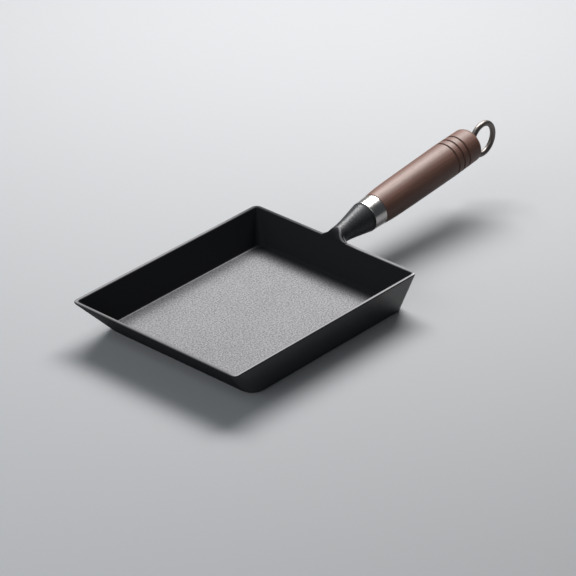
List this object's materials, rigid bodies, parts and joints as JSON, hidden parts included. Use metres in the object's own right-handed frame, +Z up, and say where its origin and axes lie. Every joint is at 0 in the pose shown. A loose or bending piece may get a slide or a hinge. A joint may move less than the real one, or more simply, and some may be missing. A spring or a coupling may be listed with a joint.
{
  "type": "rectangular frying pan",
  "caption": "Cast-iron rectangular frying pan with flared walls and a turned wooden handle, held on by a steel eye bolt that ends in a hanging ring.",
  "frame": {"origin": "centre of the base's flat underside, on the surface that the pan stands on", "axes": "+X along the handle, away from the tray; +Z up; the pan is the same on both sides of Y = 0"},
  "size_m": [0.3634, 0.1496, 0.0591],
  "materials": {
    "iron": "seasoned black, fine cast grain",
    "ferrule_steel": "polished",
    "walnut": "oiled satin",
    "bolt_steel": "drawn wire, bright"
  },
  "bodies": {
    "pan": {"pan_casting": "iron", "ferrule": "ferrule_steel", "wood_grip": "walnut"},
    "washer": {"end_washer": "bolt_steel"},
    "eye_bolt": {"eye_bolt": "bolt_steel"}
  },
  "joints": [
    {"name": "bolt_draw", "type": "slide", "parent": "pan", "child": "washer", "axis": [0.9937, 0, 0.1123], "range_m": [0, 0.00801]},
    {"name": "bolt_turn", "type": "hinge", "parent": "washer", "child": "eye_bolt", "pos_m": [0.23021, 0, 0.04673], "axis": [0.9937, 0, 0.1123], "range_deg": [0, 3600]}
  ],
  "couplings": [
    {"joint": "bolt_draw", "follows": "bolt_turn", "m_per_rad": 0.00012732}
  ]
}
